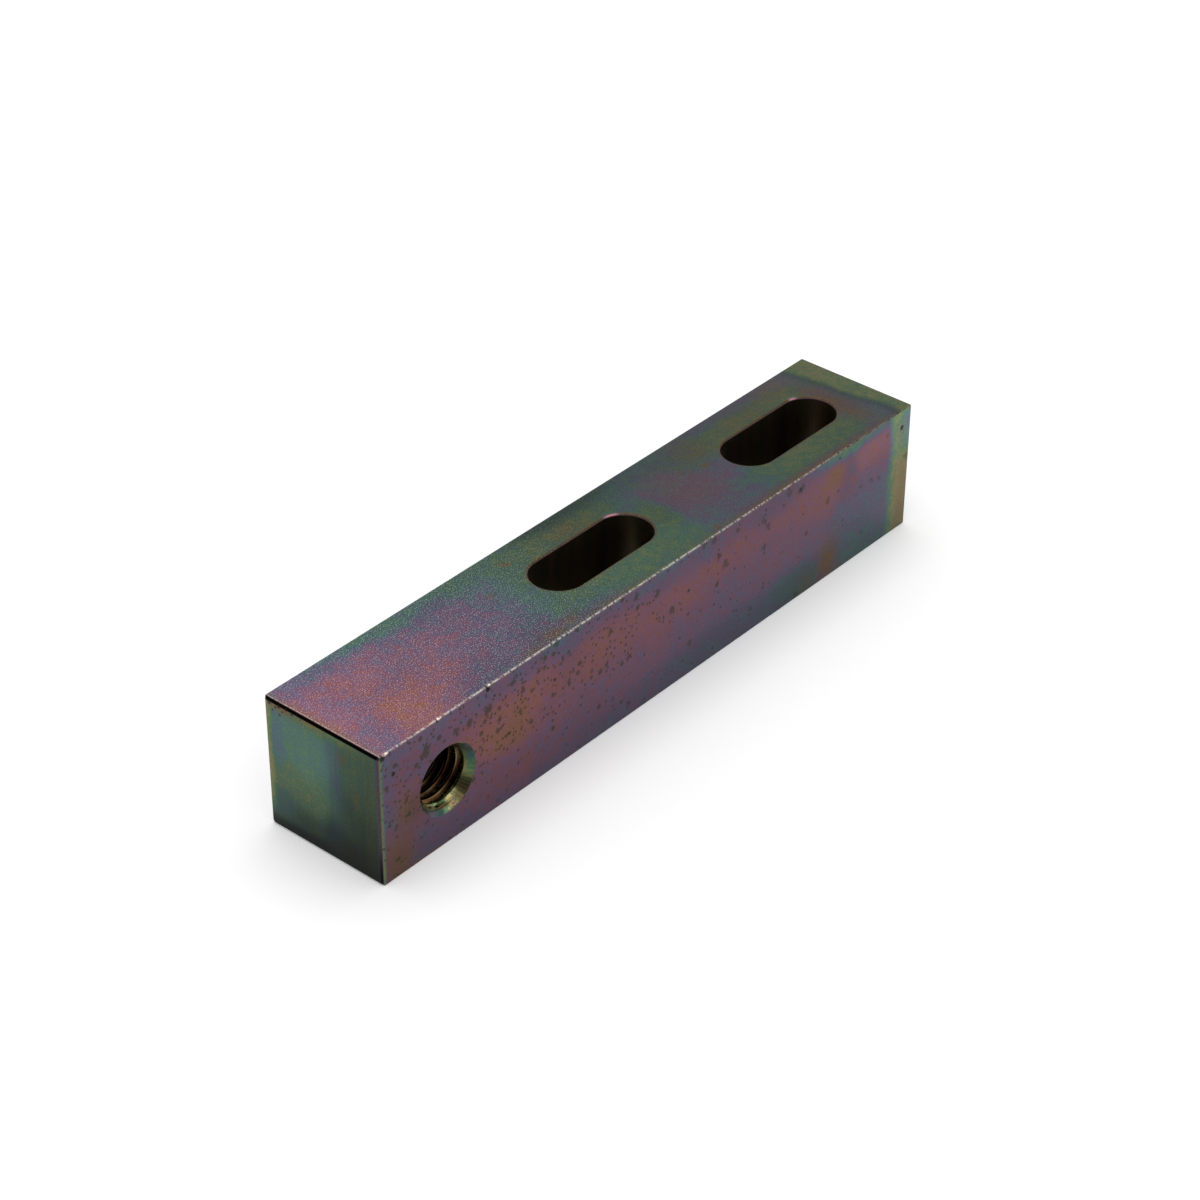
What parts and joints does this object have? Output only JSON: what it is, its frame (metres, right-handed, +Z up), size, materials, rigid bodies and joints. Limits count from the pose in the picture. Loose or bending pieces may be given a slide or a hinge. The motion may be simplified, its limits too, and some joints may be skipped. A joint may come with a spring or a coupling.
{
  "type": "mounting block",
  "caption": "Plated steel bar block: long through slots let it slide on its fixing screws, and a tapped cross hole near the other end holds a screw.",
  "frame": {"origin": "the middle of the underside", "axes": "+X runs along the bar from its tapped end to its slotted end, +Y runs across it along the tapped hole, +Z points up along the slots"},
  "size_m": [0.136, 0.0244, 0.025],
  "materials": {
    "plated_steel": "machined and zinc plated, with a dark iridescent yellow chromate film"
  },
  "bodies": {
    "root": {"mounting_block": "plated_steel"}
  },
  "joints": []
}
